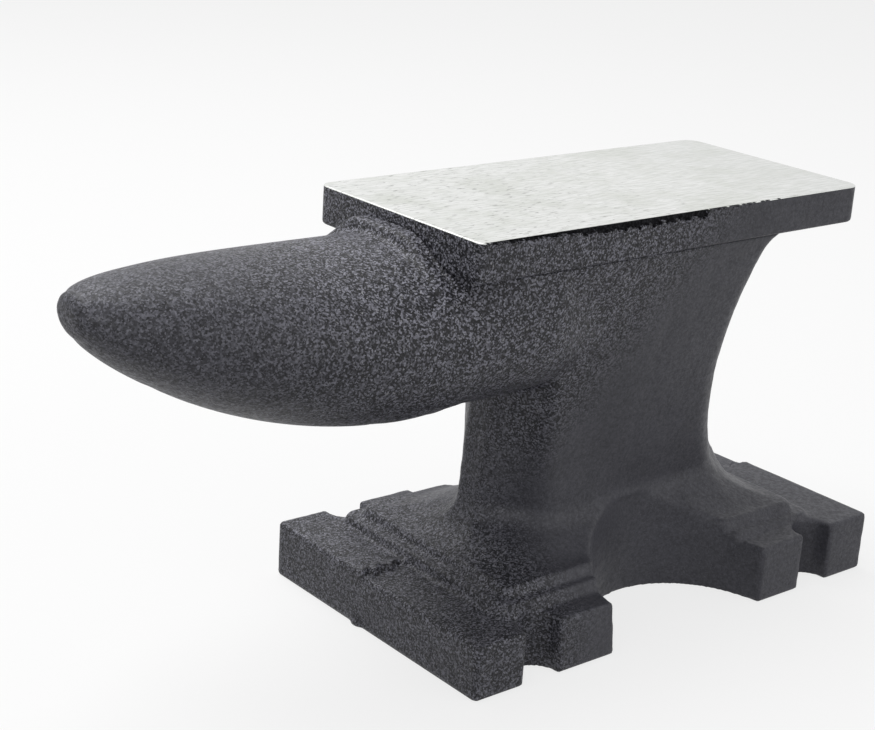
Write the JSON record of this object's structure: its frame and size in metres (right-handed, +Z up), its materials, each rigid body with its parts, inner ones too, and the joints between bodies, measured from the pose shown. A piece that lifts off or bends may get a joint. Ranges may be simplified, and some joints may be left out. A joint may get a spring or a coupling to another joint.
{
  "type": "bench anvil",
  "caption": "Small cast-iron bench anvil with a tapering round horn, table ledge, ground face, hollow waist and a stepped foot notched for bench bolts.",
  "frame": {"origin": "middle of the foot's underside, on the bench", "axes": "+X along the anvil towards the heel, with the horn at -X; +Y across the anvil; +Z up"},
  "size_m": [0.2322, 0.085, 0.112],
  "materials": {
    "cast_iron": "rough sand casting under a thin charcoal coat",
    "ground_face": "ground flat, with the casting's coat left on the plate's sides"
  },
  "bodies": {
    "root": {"foot": "cast_iron", "waist": "cast_iron", "body": "cast_iron", "horn": "cast_iron", "table_ledge": "cast_iron", "face_plate": "ground_face"}
  },
  "joints": []
}
